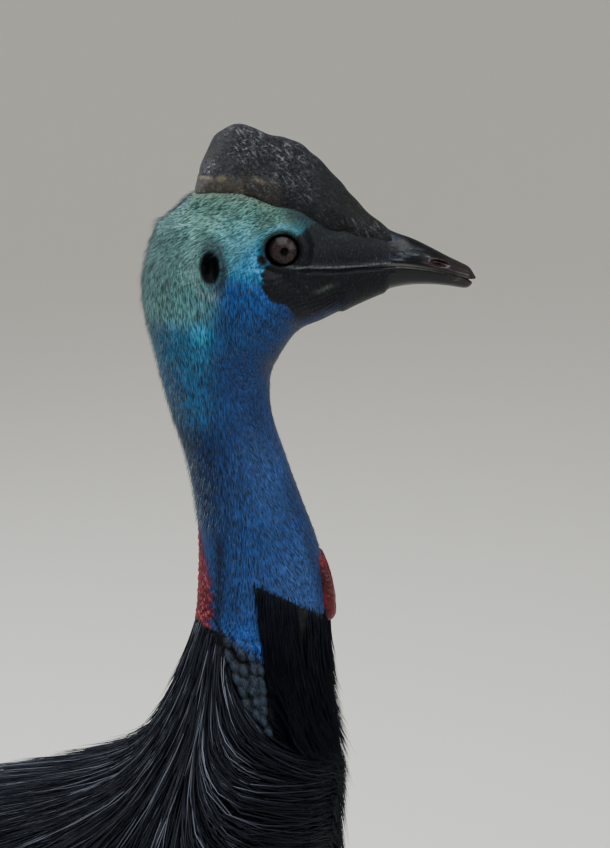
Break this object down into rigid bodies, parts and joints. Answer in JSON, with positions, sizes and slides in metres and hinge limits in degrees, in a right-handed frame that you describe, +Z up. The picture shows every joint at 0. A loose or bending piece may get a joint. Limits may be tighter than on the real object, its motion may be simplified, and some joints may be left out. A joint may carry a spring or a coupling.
{
  "type": "southern cassowary, life-size museum model",
  "caption": "Standing southern cassowary with a low horny casque, bare blue neck, small red wattles, long hair-like black plumage and scaled feet with a dagger claw.",
  "frame": {"origin": "on the floor, under the middle of the bird's bounding box", "axes": "+Z up, +X towards the bill, +Y to the bird's left"},
  "size_m": [0.9, 0.4882, 1.4038],
  "materials": {
    "plumage": "satin",
    "skin": "satin",
    "wattle": "satin",
    "bill": "gloss",
    "casque": "satin",
    "eye": "gloss",
    "scales": "matte",
    "claw": "satin"
  },
  "bodies": {
    "root": {"head": "skin", "bill_upper": "bill", "bill_lower": "bill", "casque": "casque", "eye_right": "eye", "eye_left": "eye", "neck_upper": "skin", "neck_lower": "skin", "torso": "plumage", "neck_ruff": "plumage", "wattle_right": "wattle", "wing_right": "plumage", "thigh_right": "plumage", "shank_right": "scales", "tarsus_right": "scales", "foot_right": "scales", "toe_middle_right": "scales", "claw_middle_right": "claw", "toe_inner_right": "scales", "claw_inner_right": "claw", "toe_outer_right": "scales", "claw_outer_right": "claw", "wattle_left": "wattle", "wing_left": "plumage", "thigh_left": "plumage", "shank_left": "scales", "tarsus_left": "scales", "foot_left": "scales", "toe_middle_left": "scales", "claw_middle_left": "claw", "toe_inner_left": "scales", "claw_inner_left": "claw", "toe_outer_left": "scales", "claw_outer_left": "claw"}
  },
  "joints": []
}
